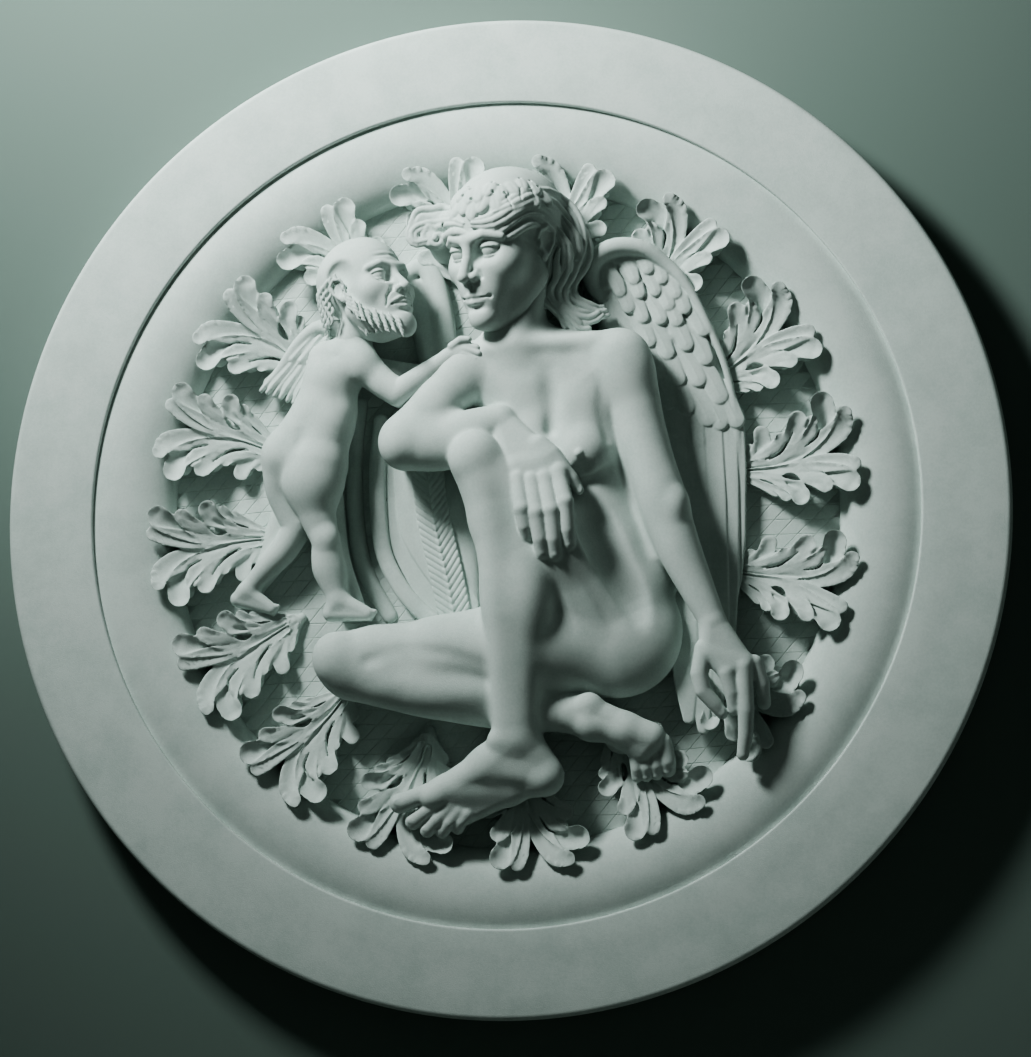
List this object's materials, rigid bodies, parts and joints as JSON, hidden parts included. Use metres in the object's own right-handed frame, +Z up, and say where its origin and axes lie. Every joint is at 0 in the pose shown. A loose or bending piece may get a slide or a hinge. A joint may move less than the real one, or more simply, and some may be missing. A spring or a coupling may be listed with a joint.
{
  "type": "plaster relief tondo",
  "caption": "Round plaster wall relief: a flat rim and rolled moulding around a sunk field, with a seated winged figure, a small winged elder beside it and a ring of acanthus leaves.",
  "frame": {"origin": "centre of the flat back, where the cast meets the wall", "axes": "+Z up, +Y into the wall, so the relief faces -Y, and +X to the viewer's right"},
  "size_m": [1, 0.1489, 1],
  "materials": {
    "plaster": "dry matt casting plaster, chalk white with a cool cast, faintly grained and mottled"
  },
  "bodies": {
    "root": {"tondo": "plaster"}
  },
  "joints": []
}
